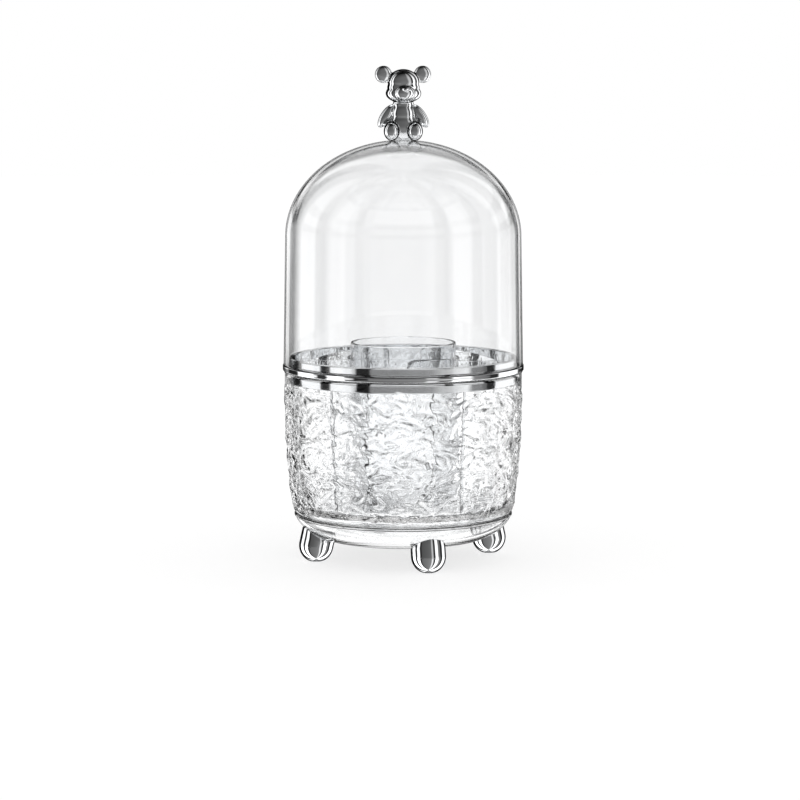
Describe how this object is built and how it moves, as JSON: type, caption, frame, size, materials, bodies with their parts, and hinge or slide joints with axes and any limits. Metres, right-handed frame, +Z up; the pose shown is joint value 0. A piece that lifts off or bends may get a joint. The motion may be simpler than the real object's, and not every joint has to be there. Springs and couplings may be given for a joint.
{
  "type": "contact lens case",
  "caption": "Footed clear jar for contact lenses with a ripple wall, plated rim, radial divider, loose centre cup and a clear dome lid lifted by a seated bear.",
  "frame": {"origin": "on the surface the jar stands on, on the jar's axis", "axes": "+Z up along the jar's axis, -Y towards the front, which the bear faces, +X to the right"},
  "size_m": [0.122, 0.122, 0.249],
  "materials": {
    "clear_plastic": "clear, polished, smooth",
    "ripple_plastic": "clear, polished, moulded in glacier ripples",
    "plated_plastic": "mirror bright plating",
    "soft_silicone": "matt translucent silicone"
  },
  "bodies": {
    "base": {"base_dish": "clear_plastic", "ripple_cup": "ripple_plastic", "rim_collar": "plated_plastic", "foot_1": "plated_plastic", "foot_2": "plated_plastic", "foot_3": "plated_plastic", "foot_4": "plated_plastic", "foot_pad_1": "soft_silicone", "foot_pad_2": "soft_silicone", "foot_pad_3": "soft_silicone", "foot_pad_4": "soft_silicone"},
    "lid": {"dome_lid": "clear_plastic", "bear_finial": "plated_plastic"},
    "divider": {"divider_insert": "clear_plastic"},
    "centre": {"centre_cup": "clear_plastic"}
  },
  "joints": [
    {"name": "lid_lift", "type": "slide", "parent": "base", "child": "lid", "axis": [0, 0, 1], "range_m": [0, 0.13]},
    {"name": "divider_lift", "type": "slide", "parent": "base", "child": "divider", "axis": [0, 0, 1], "range_m": [0, 0.078]},
    {"name": "centre_cup_lift", "type": "slide", "parent": "base", "child": "centre", "axis": [0, 0, 1], "range_m": [0, 0.085]}
  ]
}
